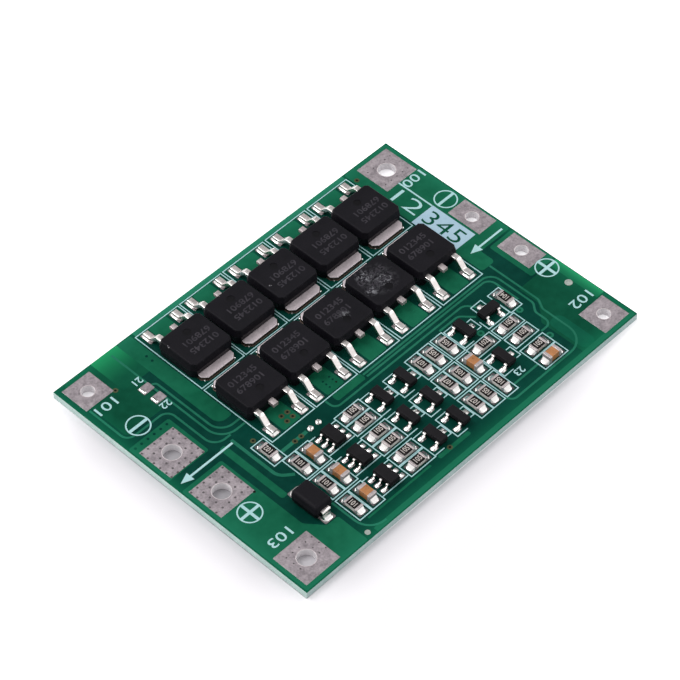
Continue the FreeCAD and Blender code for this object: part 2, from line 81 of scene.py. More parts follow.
def rounded(corners, radius, steps=4, closed=True):
    """Straight sides whose corners are arcs, each tangent to the two sides beside it.

    An arc's centre stands on the line that halves its corner, radius / sin(half angle) away from
    the corner, and the arc turns about it through as much as the sides do."""
    corners = np.asarray(corners, float)
    back = unit(np.roll(corners, 1, 0) - corners)
    forth = unit(np.roll(corners, -1, 0) - corners)
    half = np.arccos(np.clip((back * forth).sum(1), -1, 1)) / 2
    radius = np.broadcast_to(radius, half.shape)
    centre = corners + unit(back + forth) * (radius / np.sin(half))[:, None]
    leave = corners + back * (radius / np.tan(half))[:, None] - centre
    left = np.sign(back[:, 1] * forth[:, 0] - back[:, 0] * forth[:, 1])
    turn = left * (np.pi - 2 * half)
    angle = np.arctan2(leave[:, 1], leave[:, 0])[:, None] + turn[:, None] * np.linspace(0, 1, steps + 1)
    arcs = centre[:, None] + radius[:, None, None] * np.stack([np.cos(angle), np.sin(angle)], -1)
    if closed:
        return arcs.reshape(-1, 2)
    return np.concatenate([corners[:1], arcs[1:-1].reshape(-1, 2), corners[-1:]])


def tile(width, length, x=0.0, y=0.0, radius=0.1, steps=3):
    """The outline of a rectangle about a point, with rounded corners."""
    return rounded(rectangle(width, length, x, y), radius, steps)


def drawn_in(corners, distance):
    """An outline with each side moved inwards along its own normal by a distance."""
    side = unit(np.roll(corners, -1, 0) - corners)
    inward = np.stack([-side[:, 1], side[:, 0]], 1)
    before = np.roll(inward, 1, 0)
    return corners + distance * (inward + before) / (1 + (inward * before).sum(1, keepdims=True))


def at_height(outline, height):
    """An outline in the plane lifted to a height, which may differ from point to point."""
    return np.column_stack([outline, np.broadcast_to(height, len(outline))])


def skin(rings, finish, closed=False):
    """A grid of points joined by four-sided faces: u runs round each ring and v from ring to ring.

    The rings run anticlockwise seen from the last one, so the faces point outwards. The first and
    last rings are closed by one face each, unless the last ring joins the first."""
    rows, columns, _ = rings.shape
    row = np.arange(rows if closed else rows - 1)[:, None]
    column = np.arange(columns)
    after = (column + 1) % columns
    low = row * columns
    high = (row + 1) % rows * columns
    quads = np.stack([low + column, low + after, high + after, high + column], -1).reshape(-1, 4)
    faces = [quads] if closed else [quads, column[None, ::-1], (rows - 1) * columns + column[None]]
    return rings.reshape(-1, 3), faces, finish


def block(corners, levels, radius, finish, steps=3):
    """A block of rings that share one outline. Each level is a height and how far the outline is
    drawn in there. The corner radius shrinks with the outline, down to a quarter of itself."""
    rings = [at_height(rounded(drawn_in(corners, inset), max(radius - inset, radius / 4), steps), z)
             for z, inset in levels]
    return skin(np.array(rings), finish)


def crown(height, inset, radius):
    """The levels of a rounded upper edge: a quarter circle, then one more ring on the flat top."""
    angle = np.linspace(0, np.pi / 2, 4)
    rise = height - radius + radius * np.sin(angle)
    return [*zip(rise, inset + radius * (1 - np.cos(angle))), (height, inset + 1.3 * radius)]


def drafted(foot, parting, height, foot_draft, top_draft, edge):
    """The levels of a moulding that draws in both ways from its parting line, by the tangent of
    each draft, and ends in a rounded upper edge."""
    below = (parting - foot) * np.tan(np.radians(foot_draft))
    above = (height - edge - parting) * np.tan(np.radians(top_draft))
    return [(foot, below + 0.06), (foot + 0.06, below), (parting - 0.02, 0.012), (parting, 0.0),
            (parting + 0.02, 0.012), *crown(height, above, edge)]


def carried(section, path, across, finish):
    """A section carried along a path in one plane. Its first number is measured along that plane's
    normal, and its second square to the path, in the plane."""
    along = unit(np.gradient(path, axis=0))
    over = np.cross(along, across)
    rings = path[:, None] + section[:, :1] * np.asarray(across) + section[:, 1:] * over[:, None]
    return skin(rings, finish)


def ribbon(line, width, top, finish, closed=False):
    """A flat strip along a line on the board, mitred at each turn.

    The strip's edge is set off by half its width along the mean of the two sides' normals, over one
    plus their product, which keeps its width round a corner. Its shoulders slope."""
    line = np.asarray(line, float)
    forth = unit(np.roll(line, -1, 0) - line)
    back = np.roll(forth, 1, 0)
    if not closed:
        forth[-1] = back[-1]
        back[0] = forth[0]
    out = np.stack([forth[:, 1], -forth[:, 0]], 1)
    before = np.stack([back[:, 1], -back[:, 0]], 1)
    mitre = (out + before) / (1 + (out * before).sum(1, keepdims=True))
    slope = min(0.02, width / 4)
    section = np.array([[-width / 2, SUNK], [width / 2, SUNK], [width / 2 - slope, top],
                        [slope - width / 2, top]])
    flat = line[:, None] + section[None, :, :1] * mitre[:, None]
    rise = np.broadcast_to(section[None, :, 1:], (*flat.shape[:2], 1))
    return skin(np.concatenate([flat, rise], -1)[:, ::-1], finish, closed)


def plate(outline, top, finish, foot=SUNK):
    """A flat layer with straight walls inside an outline without hollows."""
    return skin(np.array([at_height(outline, foot), at_height(outline, top)]), finish)


def dome(x, y, radius, height, foot, finish, steps=5):
    """A bead of solder: rings whose radius is a cosine and whose height is a sine of one angle."""
    angle = np.linspace(0, np.pi / 2, steps + 1)[:-1]
    rings = [at_height(circle(x, y, radius * np.cos(a), 20), foot + height * np.sin(a)) for a in angle]
    return skin(np.array(rings), finish)


def taken(holder, shift, finish):
    """The skin of a curve or text object, moved, and the object thrown away."""
    mesh = bpy.data.meshes.new_from_object(holder)
    mesh.calc_loop_triangles()
    points = np.empty(len(mesh.vertices) * 3)
    mesh.vertices.foreach_get("co", points)
    triangles = np.empty(len(mesh.loop_triangles) * 3, int)
    mesh.loop_triangles.foreach_get("vertices", triangles)
    curve = holder.data
    bpy.data.objects.remove(holder)
    bpy.data.curves.remove(curve)
    bpy.data.meshes.remove(mesh)
    return points.reshape(-1, 3) + shift, [triangles.reshape(-1, 3)], finish


def filled(outlines, foot, top, finish):
    """A flat layer between two heights inside closed outlines. An outline in another is a hole."""
    curve = bpy.data.curves.new("layer", "CURVE")
    curve.dimensions = "2D"
    curve.fill_mode = "BOTH"
    curve.extrude = (top - foot) / 2
    for outline in outlines:
        spline = curve.splines.new("POLY")
        spline.points.add(len(outline) - 1)
        flat = np.column_stack([outline, np.zeros(len(outline)), np.ones(len(outline))])
        spline.points.foreach_set("co", flat.ravel())
        spline.use_cyclic_u = True
    return taken(bpy.data.objects.new("layer", curve), (0, 0, (foot + top) / 2), finish)


def figures(words, height, x, y, z, finish, turn=0.0, wide=1.0, bold=0.0):
    """Numerals printed flat, centred on a point and turned about it. The type's size is 1.38 times
    the height of its figures. wide stretches them and bold thickens them, in millimetres."""
    text = bpy.data.curves.new("figures", "FONT")
    text.body = words
    text.size = height * 1.38
    text.offset = bold
    text.align_x = "CENTER"
    text.align_y = "CENTER"
    text.resolution_u = 3
    points, faces, _ = taken(bpy.data.objects.new("figures", text), (0, 0, 0), finish)
    points = points * (wide, 1, 1) + (0, 0, z)
    return shifted([(points, faces, finish)], x, y, turn=turn)[0]


def shifted(skins, x, y, z=0.0, turn=0.0):
    """Skins turned about Z by degrees, and then moved."""
    angle = np.radians(turn)
    cos, sin = np.cos(angle), np.sin(angle)
    matrix = np.array([[cos, -sin, 0], [sin, cos, 0], [0, 0, 1]])
    return [(points @ matrix.T + (x, y, z), faces, finish) for points, faces, finish in skins]


def both_ends(skins):
    """Skins as they are, and once more after half a turn."""
    return skins + shifted(skins, 0.0, 0.0, turn=180.0)


# Materials: shared effects as node groups, and one material for each finish

def effect(name, output, inputs, filled_by):
    """A shader node group with named sockets. An input without a number is a vector. filled_by takes
    the group and the sockets that come in, and gives the one that goes out."""
    tree = bpy.data.node_groups.new(name, "ShaderNodeTree")
    for label, value in {"Vector": None, **inputs}.items():
        kind = "NodeSocketVector" if value is None else "NodeSocketFloat"
        socket = tree.interface.new_socket(label, in_out="INPUT", socket_type=kind)
        if value is not None:
            socket.default_value = value
    tree.interface.new_socket(output, in_out="OUTPUT", socket_type="NodeSocketFloat")
    result = filled_by(tree, tree.nodes.new("NodeGroupInput").outputs)
    tree.links.new(result, tree.nodes.new("NodeGroupOutput").inputs[0])
    return tree


def add(tree, kind, links=None, **settings):
    """A node with its settings. links gives, for an input's name or number, a value or a socket."""
    node = tree.nodes.new(f"ShaderNode{kind}")
    for name, value in settings.items():
        setattr(node, name, value)
    for name, value in (links or {}).items():
        if isinstance(value, bpy.types.NodeSocket):
            tree.links.new(value, node.inputs[name])
        else:
            node.inputs[name].default_value = value
    return node


def maths(tree, operation, first, *others, clamp=False):
    """One operation on several values in turn, from the left. clamp holds each result from 0 to 1."""
    for other in others:
        sockets = {0: first, 1: other}
        first = add(tree, "Math", sockets, operation=operation, use_clamp=clamp).outputs[0]
    return first


def vectors(tree, operation, first, second=(0.0, 0.0, 0.0), output="Vector"):
    """One output of a Vector Math node."""
    return add(tree, "VectorMath", {0: first, 1: second}, operation=operation).outputs[output]


def ramp(tree, value, start, end, low=0.0, high=1.0, kind="LINEAR"):
    """A value carried over from one range to another, and held at its ends."""
    sockets = {"Value": value, "From Min": start, "From Max": end, "To Min": low, "To Max": high}
    return add(tree, "MapRange", sockets, interpolation_type=kind).outputs["Result"]


def noise(tree, place, scale, detail, roughness, distortion=0.0):
    """The factor of a noise texture."""
    sockets = {"Vector": place, "Scale": scale, "Detail": detail, "Roughness": roughness,
               "Distortion": distortion}
    return add(tree, "TexNoise", sockets).outputs["Fac"]


def mottle(tree, given):
    """Slow and quick noise together, from 0 to 1, for tones that drift over a surface."""
    slow = noise(tree, given["Vector"], given["Slow"], 3.0, 0.6)
    quick = noise(tree, given["Vector"], given["Quick"], 2.0, 0.5)
    both = maths(tree, "ADD", maths(tree, "MULTIPLY", slow, 0.6), maths(tree, "MULTIPLY", quick, 0.4))
    return ramp(tree, both, 0.36, 0.64)


def grain(tree, given):
    """A fine height, in metres, of rounded lumps with pits between them."""
    lumps = noise(tree, given["Vector"], given["Scale"], 3.0, 0.65)
    return maths(tree, "MULTIPLY", lumps, given["Depth"])


def film(tree, given):
    """A thin patchy deposit round one spot. Its mask falls from the spot to a radius, broken up by
    noise, and lies only on what faces up."""
    away = vectors(tree, "DISTANCE", given["Vector"], given["Spot"], "Value")
    near = maths(tree, "SUBTRACT", 1.0, maths(tree, "DIVIDE", away, given["Radius"]), clamp=True)
    patch = ramp(tree, noise(tree, given["Vector"], given["Scale"], 5.0, 0.7, 0.6), 0.47, 0.6)
    facing = add(tree, "SeparateXYZ", {0: add(tree, "NewGeometry").outputs["Normal"]}).outputs["Z"]
    up = maths(tree, "MULTIPLY", facing, facing, clamp=True)
    return maths(tree, "MULTIPLY", near, patch, up, given["Amount"], clamp=True)


def painted_edge_light(tree, given):
    """Painted light that makes the board paler towards its rim. The factor is 1 at the board's edge and
    eases to 0 at the reach, by how far the nearer edge is along X or Y."""
    inset = vectors(tree, "SUBTRACT", BOARD / 2 * MM, vectors(tree, "ABSOLUTE", given["Vector"]))
    axes = add(tree, "SeparateXYZ", {0: inset}).outputs
    nearest = maths(tree, "MINIMUM", axes["X"], axes["Y"])
    share = maths(tree, "DIVIDE", nearest, given["Reach"], clamp=True)
    left = maths(tree, "SUBTRACT", 1.0, share, clamp=True)
    return maths(tree, "MULTIPLY", left, left)


EFFECTS = {name: effect(name, output, inputs, filled_by) for name, output, inputs, filled_by in (
    ("Mottle", "Factor", {"Slow": 300.0, "Quick": 3000.0}, mottle),
    ("Grain", "Height", {"Scale": 6000.0, "Depth": 1e-5}, grain),
    ("Film", "Mask", {"Spot": None, "Radius": 0.002, "Scale": 1500.0, "Amount": 0.5}, film),
    ("Painted edge light", "Factor", {"Reach": 0.003}, painted_edge_light))}


def use(tree, name, **values):
    """What one of the shared effects puts out, read in the object's own coordinates."""
    where = add(tree, "TexCoord").outputs["Object"]
    return add(tree, "Group", {"Vector": where, **values}, node_tree=EFFECTS[name]).outputs[0]


def colour(red, green, blue):
    """A colour written as it looks on a screen, from 0 to 255, as the linear one that a shader takes."""
    screen = np.array([red, green, blue]) / 255
    linear = np.where(screen <= 0.04045, screen / 12.92, ((screen + 0.055) / 1.055) ** 2.4)
    return (*linear, 1.0)


def blended(tree, factor, first, second):
    """Two colours mixed by a factor. Mix has sockets for every kind of value, and its colours are
    inputs 6 and 7 and output 2."""
    return add(tree, "Mix", {"Factor": factor, 6: first, 7: second}, data_type="RGBA").outputs[2]


# Spots of dried flux on two mouldings of the near row: x, y, radius and amount, in one level plane
SMEARS = {3: [(2.3, 3.0, 0.9, 0.7)],
          4: [(8.1, 5.4, 1.2, 1.0), (7.1, 3.2, 0.9, 0.8), (9.7, 3.4, 1.1, 0.7), (9.0, 4.0, 2.7, 0.28)]}
SMEAR_HEIGHT = 3.3
DRIED_FLUX = (150, 150, 156)
BLACK = ((11, 10, 16), (19, 17, 23))


def finish_material(name, dark, light, rough, slow=900.0, quick=9000.0, grain=9000.0, depth=5e-6,
                    metallic=0.0, specular=0.5, smears=(), painted_edge_tone=None, reach=0.0032):
    """A material whose colour drifts between two tones and whose roughness drifts with it.

    Tones are written as they look on a screen. slow, quick and grain are noises per metre, and
    depth is the grain's height in metres. smears lists spots with a pale film. The tone given near
    the board's edges is painted light, and reach is how far in that goes, in metres."""
    material = bpy.data.materials.new(name)
    material.use_nodes = True
    tree = material.node_tree
    shader = tree.nodes["Principled BSDF"]
    drift = use(tree, "Mottle", Slow=slow, Quick=quick)
    tint = blended(tree, drift, colour(*dark), colour(*light))
    # The paler tone towards the board's edges is painted light.
    if painted_edge_tone:
        tint = blended(tree, use(tree, "Painted edge light", Reach=reach), tint, colour(*painted_edge_tone))
    gloss = ramp(tree, drift, 0.0, 1.0, *rough)
    for x, y, radius, amount in smears:
        mask = use(tree, "Film", Spot=(x * MM, y * MM, SMEAR_HEIGHT * MM), Radius=radius * MM,
                   Amount=amount, Scale=2200.0)
        tint = blended(tree, mask, tint, colour(*DRIED_FLUX))
        gloss = maths(tree, "ADD", gloss, maths(tree, "MULTIPLY", mask, 0.3), clamp=True)
    height = use(tree, "Grain", Scale=grain, Depth=depth)
    relief = add(tree, "Bump", {"Height": height, "Distance": 1.0, "Strength": 1.0}).outputs["Normal"]
    for label, socket in (("Base Color", tint), ("Roughness", gloss), ("Normal", relief)):
        tree.links.new(socket, shader.inputs[label])
    shader.inputs["Metallic"].default_value = metallic
    shader.inputs["Specular IOR Level"].default_value = specular
    return material


MASKED = {"rough": (0.3, 0.42), "slow": 150.0, "quick": 900.0, "grain": 1800.0, "depth": 4e-6,
          "specular": 0.03}
RAISED = dict(MASKED, rough=(0.32, 0.45))
SAWN = {"rough": (0.6, 0.8), "slow": 400.0, "quick": 5000.0, "depth": 2e-5, "specular": 0.3}
INK = {"rough": (0.5, 0.65), "slow": 500.0, "quick": 6000.0, "depth": 3e-6, "specular": 0.2}
TINNED = {"rough": (0.4, 0.55), "quick": 7000.0, "grain": 5000.0, "depth": 1.2e-5, "metallic": 0.6}
PLATED = {"rough": (0.45, 0.6), "quick": 6000.0, "grain": 6000.0, "depth": 1e-5, "metallic": 0.6}
MOULDED = {"rough": (0.5, 0.62), "slow": 350.0, "grain": 14000.0, "depth": 9e-6, "specular": 0.12}
FIGURES = {"rough": (0.5, 0.6), "depth": 3e-6}

# For each finish, its material's name, its dark and its light tone, and its settings
LOOKS = {
    # The tone that each mask and copper finish takes towards the board's edges is painted light.
    "mask": ("Mask over laminate", (3, 51, 43), (6, 62, 52), dict(MASKED, painted_edge_tone=(14, 94, 68))),
    "mid": ("Mask over buried copper", (8, 67, 48), (13, 79, 58), dict(MASKED, painted_edge_tone=(16, 104, 74))),
    # Painted light: a patch of mask made paler, more so towards the board's far edge.
    "bare": ("Mask paled by painted light near the far edge", (9, 72, 53), (14, 82, 59),
             dict(MASKED, painted_edge_tone=(34, 146, 94), reach=0.005)),
    # Painted light: mask made bright along the board's right rim.
    "rim": ("Mask paled by painted light at the right rim", (16, 94, 66), (22, 102, 72),
            dict(MASKED, painted_edge_tone=(40, 154, 102), reach=0.0018)),
    "thin": ("Mask over thin copper", (11, 78, 59), (16, 89, 67), dict(MASKED, painted_edge_tone=(16, 106, 75))),
    # Painted shade: a near-black mask tone under the small leads.
    "shade": ("Painted shade under the small leads", (2, 26, 22), (4, 36, 31), MASKED),
    "pour": ("Mask over copper", (15, 85, 61), (24, 100, 73), dict(RAISED, painted_edge_tone=(28, 110, 82))),
    "track": ("Mask over a track", (28, 98, 76), (38, 110, 88), dict(RAISED, painted_edge_tone=(38, 124, 96))),
    "laminate": ("Cut laminate", (158, 184, 182), (198, 215, 213), SAWN),
    # Painted light: the laminate walls at the two ends are made paler.
    "end_cut": ("Laminate paled by painted light at the ends", (192, 220, 213), (216, 240, 233), SAWN),
    "print": ("Board print", (158, 200, 202), (176, 212, 216), INK),
    "panel": ("Printed panel", (155, 184, 201), (167, 195, 210), INK),
    "land": ("Tinned land", (122, 114, 119), (168, 158, 163),
             dict(TINNED, rough=(0.5, 0.62), slow=1100.0, quick=4000.0, metallic=0.3)),
    "barrel": ("Plated hole", (220, 216, 219), (234, 231, 233),
               dict(TINNED, rough=(0.45, 0.6), depth=8e-6, metallic=0.0, specular=0.4)),
    "flat": ("Thin tin on a land", (112, 106, 108), (150, 143, 146), TINNED),
    # A tin land, its dark tone painted shade round the chips' solder.
    "painted_shade_land": ("Tin land darkened by painted shade", (60, 58, 61), (98, 94, 97), TINNED),
    "solder": ("Solder", (225, 222, 220), (245, 243, 241),
               dict(PLATED, rough=(0.14, 0.26), quick=5000.0, grain=2500.0, depth=1.5e-5, metallic=1.0)),
    "tin": ("Tinned lead", (222, 214, 212), (246, 241, 238),
            dict(TINNED, rough=(0.22, 0.36), slow=700.0, quick=6000.0, depth=8e-6, metallic=1.0)),
    "tab": ("Matt tinned tab", (206, 194, 199), (230, 218, 222),
            dict(PLATED, rough=(0.42, 0.55), slow=500.0, quick=5000.0, grain=7000.0, metallic=0.5)),
    "cut": ("Cut copper", (64, 53, 47), (96, 80, 70), dict(PLATED, quick=5000.0, depth=1.5e-5)),
    "bead": ("Bead of tin", (190, 180, 182), (218, 209, 211),
             dict(PLATED, rough=(0.4, 0.55), metallic=0.5)),
    "cap": ("Plated cap", (168, 158, 159), (196, 187, 187), dict(PLATED, rough=(0.38, 0.55))),
    "point": ("Test point", (138, 148, 142), (178, 184, 178), dict(PLATED, metallic=0.3)),
    "moulding": ("Power moulding", *BLACK, MOULDED),
    "smeared_3": ("Power moulding with a spot of dried flux", *BLACK, dict(MOULDED, smears=SMEARS[3])),
    "smeared_4": ("Power moulding with dried flux", *BLACK, dict(MOULDED, smears=SMEARS[4])),
    "ejector": ("Ejector mark", (12, 11, 14), (17, 16, 20),
                {"rough": (0.35, 0.45), "slow": 600.0, "depth": 3e-6, "specular": 0.12}),
    "small": ("Small moulding", (15, 14, 17), (23, 21, 25),
              {"rough": (0.45, 0.6), "slow": 500.0, "grain": 12000.0, "depth": 7e-6, "specular": 0.14}),
    "glaze": ("Resistor glaze", (16, 13, 14), (26, 22, 22),
              {"rough": (0.3, 0.42), "depth": 4e-6, "specular": 0.15}),
    "alumina": ("Resistor ceramic", (200, 194, 190), (222, 217, 212),
                {"rough": (0.55, 0.7), "grain": 12000.0, "specular": 0.3}),
    "capacitor": ("Capacitor ceramic", (148, 95, 50), (186, 122, 67),
                  {"rough": (0.26, 0.36), "grain": 12000.0, "depth": 6e-6, "specular": 0.9}),
    "mark": ("Pale figures", (180, 172, 167), (206, 198, 192),
             dict(FIGURES, quick=12000.0, specular=0.2)),
    "faint": ("Faint figures", (38, 36, 42), (60, 57, 63), dict(FIGURES, specular=0.12)),
    "speck": ("Flux specks", (96, 94, 98), (128, 126, 130),
              {"rough": (0.5, 0.7), "depth": 6e-6, "specular": 0.2}),
    # Painted shade: a flat dark disc stands for an open hole.
    "drilled": ("Painted shade of a drilled hole", (8, 10, 9), (20, 22, 18), {"rough": (0.6, 0.8), "specular": 0.1}),
    "dimple": ("Filled hole", (66, 62, 64), (94, 88, 91), {"rough": (0.5, 0.7), "metallic": 0.3}),
    "ring": ("Oxidised ring", (52, 60, 30), (74, 78, 44),
             {"rough": (0.4, 0.55), "depth": 6e-6, "metallic": 0.3}),
}
FINISHES = {finish: finish_material(*look, **manner) for finish, (*look, manner) in LOOKS.items()}


SHARP = np.radians(38.0)


def box_of(node):
    """The low and the high corner of a CAD node, in millimetres."""
    return np.array(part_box(node)) / MM


def in_scene(name, data):
    """A new object that shows in the scene."""
    piece = bpy.data.objects.new(name, data)
    bpy.context.scene.collection.objects.link(piece)
    return piece


def dressed(piece, finishes, index, sharp, nodes):
    """Gives a piece its finishes and lets it ride on the board. Its edges are sharp from an angle,
    in radians."""
    mesh = piece.data
    mesh.materials.clear()
    for finish in finishes:
        mesh.materials.append(FINISHES[finish])
    mesh.polygons.foreach_set("material_index", index)
    mesh.shade_smooth()
    mesh.set_sharp_from_angle(angle=sharp)
    mesh.update()
    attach(piece, "root")
    if nodes:
        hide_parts(*nodes)


def make_piece(name, skins, nodes=()):
    """One mesh of several skins, each with its own finish."""
    finishes = list(dict.fromkeys(finish for _, _, finish in skins))
    starts = np.cumsum([0] + [len(points) for points, _, _ in skins])
    faces = []
    index = []
    for start, (_, its_faces, finish) in zip(starts, skins):
        for group in its_faces:
            faces += (group + start).tolist()
            index += [finishes.index(finish)] * len(group)
    mesh = bpy.data.meshes.new(name)
    mesh.from_pydata(np.concatenate([points for points, _, _ in skins]) * MM, [], faces)
    dressed(in_scene(name, mesh), finishes, index, SHARP, nodes)


def worked(node, name, finish_of, edge):
    """A copy of a CAD node with its points merged, its edges broken, and a finish for each face.
    finish_of takes the faces' normals and gives a finish for each one."""
    piece = in_scene(name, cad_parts[node].data.copy())
    for kind, settings in (("WELD", {"merge_threshold": 1e-7}),
                           ("DECIMATE", {"decimate_type": "DISSOLVE", "angle_limit": 0.01}),
                           ("BEVEL", {"width": edge * MM, "segments": 2, "limit_method": "ANGLE",
                                      "angle_limit": 1.0, "harden_normals": False})):
        modifier = piece.modifiers.new(kind.title(), kind)
        for label, value in settings.items():
            setattr(modifier, label, value)
    bpy.context.view_layer.update()
    mesh = bpy.data.meshes.new_from_object(piece.evaluated_get(bpy.context.evaluated_depsgraph_get()))
    mesh.name = name
    piece.modifiers.clear()
    piece.data = mesh
    normals = np.empty(len(mesh.polygons) * 3)
    mesh.polygons.foreach_get("normal", normals)
    chosen = finish_of(normals.reshape(-1, 3))
    finishes = sorted(set(chosen.tolist()))
    dressed(piece, finishes, np.searchsorted(finishes, chosen), 0.5, [node])


# Solder joints

def solder(inner, outer, height, finish="solder", steps=5, power=2.2):
    """A solder fillet: u runs round two outlines, v from the land's edge in to the metal. It rises
    from a thin film as a power of how far in it is, so that its face is hollow above a power of 1."""
    film = 0.03
    share = np.linspace(0, 1, steps + 1)
    flat = outer + (inner - outer) * share[:, None, None]
    rise = film + (np.broadcast_to(height, len(inner)) - film) * (share ** power)[:, None]
    return skin(np.concatenate([at_height(outer, 0.0)[None], np.dstack([flat, rise])]), finish)


def eased(distance, reach, low, high):
    """Heights that go from low to high over a reach, eased by a cosine."""
    share = np.clip(distance / reach, 0, 1)
    return low + (high - low) * (1 - np.cos(np.pi * share)) / 2


# The power transistors, drawn about the moulding's middle, with the leads towards the viewer

BODY = {"width": 6.6, "length": 6.1, "height": 2.28, "parting": 1.3}
TAB = {"width": 5.15, "inner": -1.9, "overhang": 1.04, "corner": 0.6, "thickness": 0.5}
LEAD_X = 2.285
LEAD_SECTION = tile(0.76, 0.5, radius=0.07, steps=2)
EJECTOR = (0.0, -1.4)
EJECTOR_RADIUS = 0.5


def bent_line(start, finish, bend, before, after, steps=6):
    """The middle line of a formed lead in its own plane: level, down along the inner tangent of two
    equal bends, and level again. start and finish are where the bends begin and end.

    The tangent slopes by the angle of the line between the bends' centres plus the arcsine of two
    radii over the length of that line."""
    start, finish = np.array(start), np.array(finish)
    drop = start[1] - finish[1] - 2 * bend
    across = finish[0] - start[0]
    slope = np.arctan2(drop, across) + np.arcsin(2 * bend / np.hypot(across, drop))
    angle = np.linspace(0, slope, steps + 1)[:, None]
    arm = np.hstack([np.sin(angle), np.cos(angle)]) * bend
    return np.concatenate([[start - (before, 0)], start - (0, bend) + arm,
                           finish + (0, bend) - arm[::-1], [finish + (after, 0)]])


def power_moulding(finish):
    """The moulding. Its corners are cut back, more so at the tab, and above the parting line its tab
    end stands steeper than its other sides. The top closes on the ejector's mark."""
    side, end, height = BODY["width"] / 2, BODY["length"] / 2, BODY["height"]
    cut, wide_cut, long_cut = 0.5, 0.55, 0.65
    corners = np.array([[-side + cut, -end], [side - cut, -end], [side, -end + cut],
                        [side, end - long_cut], [side - wide_cut, end], [-side + wide_cut, end],
                        [-side, end - long_cut], [-side, -end + cut]])
    levels = drafted(0.0, BODY["parting"], height, 7.0, 15.0, 0.15)
    points, faces, _ = block(corners, levels, 0.12, finish, 2)
    steeper = np.clip(points[:, 2] - BODY["parting"], 0, None) * 0.12
    points[:, 1] += steeper * (points[:, 1] > 1.5)
    rim = points[-len(faces[1][0]):, :2]
    top = filled([rim, circle(*EJECTOR, EJECTOR_RADIUS, 40)], height - 0.05, height, finish)
    mark = plate(circle(*EJECTOR, EJECTOR_RADIUS + 0.06, 40), height - 0.04, "ejector", height - 0.09)
    return [(points, faces[:-1], finish), top, mark]


def power_tab():
    """The metal tab: cut copper walls under a tinned face, with a bead of solder at each corner, and round
    it a thin film in the dark cut-copper tone, which is painted shade under its edge.
    """
    side, end = TAB["width"] / 2, BODY["length"] / 2 + TAB["overhang"]
    inner, corner, thickness = TAB["inner"], TAB["corner"], TAB["thickness"]
    outline = np.array([[-side, inner], [side, inner], [side, end - corner], [side - corner, end],
                        [-side + corner, end], [-side, end - corner]])
    seam = thickness - 0.08
    walls = block(outline, [(0.0, 0.0), (seam, 0.0)], 0.08, "cut")
    face = block(outline, [(seam, 0.0), *crown(thickness, 0.0, 0.06)], 0.08, "tab")
    edge = rounded(drawn_in(outline, 0.03), 0.1, 3)
    land = rounded(drawn_in(outline, -0.09), 0.1, 3)
    # Painted shade: a thin dark film round the tab, below its edge.
    painted_shade_bed = solder(edge, land, 0.06, finish="cut", steps=2, power=1.0)
    beads = [dome(x, end - 0.22, radius, 0.2, 0.0, "solder", 4)
             for x, radius in ((-2.32, 0.2), (2.36, 0.15))]
    return [walls, face, painted_shade_bed, *beads]


def power_package(finish, numbers):
    """A power transistor on its leads, with its solder and its figures."""
    skins = [*power_moulding(finish), *power_tab()]
    lead = bent_line((3.6, BODY["parting"]), (4.95, 0.25), bend=0.45, before=1.15, after=1.05)
    for x in (-LEAD_X, LEAD_X):
        path = np.column_stack([np.full(len(lead), x), -lead[:, 0], lead[:, 1]])
        foot = tile(0.74, 1.0, x, -5.5)
        rise = eased(-foot[:, 1] - 5.0, 0.95, 0.08, 0.26)
        skins += [carried(LEAD_SECTION, path, (1, 0, 0), "tin"),
                  solder(foot, tile(1.08, 1.38, x, -5.56, 0.3), rise, power=1.2),
                  plate(tile(1.24, 1.8, x, -5.4, 0.14), 0.03, "flat", 0.0)]
    stub = np.array([[0.0, y, BODY["parting"]] for y in (-2.9, -3.4, -3.9)])
    skins.append(carried(LEAD_SECTION, stub, (1, 0, 0), "cap"))
    return skins + [figures(words, 0.85, -0.25, 1.15 - 1.35 * row, BODY["height"] + 0.0015, "faint",
                            wide=1.2, bold=0.02) for row, words in enumerate(numbers)]


for row, turn, outward in (("near", 0, 0.95), ("far", 180, -0.95)):
    for number in range(1, 6):
        node = f"{row}_row_mosfet_{number}"
        x, y, _ = box_of(node).mean(0)
        finish = f"smeared_{number}" if row == "near" and number in SMEARS else "moulding"
        skins = shifted(power_package(finish, ("012345", "678901")), x, y + outward, TOP, turn)
        make_piece(node.replace("mosfet", "power_transistor"), skins, [node])


# The small packages

SMALL_PARTING = 0.58


def gull_leads(places, width, reach, breadth):
    """Small leads on both sides, with their solder. places gives each one's side and its place, and
    breadth is that of a lead."""
    middle = bent_line((width / 2 + 0.08, SMALL_PARTING), (reach - 0.3, 0.07), bend=0.09, before=0.3,
                       after=0.3, steps=4)
    path = np.column_stack([middle[:, 0], np.zeros(len(middle)), middle[:, 1]])
    strip = carried(tile(breadth, 0.14, radius=0.03, steps=2), path, (0, 1, 0), "tin")
    foot = tile(0.36, breadth - 0.04, reach - 0.2)
    bead = tile(breadth + 0.3, breadth * 1.6, reach + 0.02, 0.0, breadth * 0.7)
    joint = solder(foot, bead, eased(foot[:, 0] - reach + 0.35, 0.3, 0.11, 0.2), power=1.0)
    land = plate(tile(0.86, breadth + 0.3, reach - 0.03), 0.025, "flat", 0.0)
    return [piece for side, place in places
            for piece in shifted([strip, joint, land], 0.0, place, turn=0 if side > 0 else 180)]


def small_package(width, length, height, reach, places, breadth):
    """A small drafted moulding on its leads."""
    levels = drafted(0.1, SMALL_PARTING, height, 10.0, 10.0, 0.06)
    return [block(rectangle(width, length), levels, 0.08, "small"),
            *gull_leads(places, width, reach, breadth)]


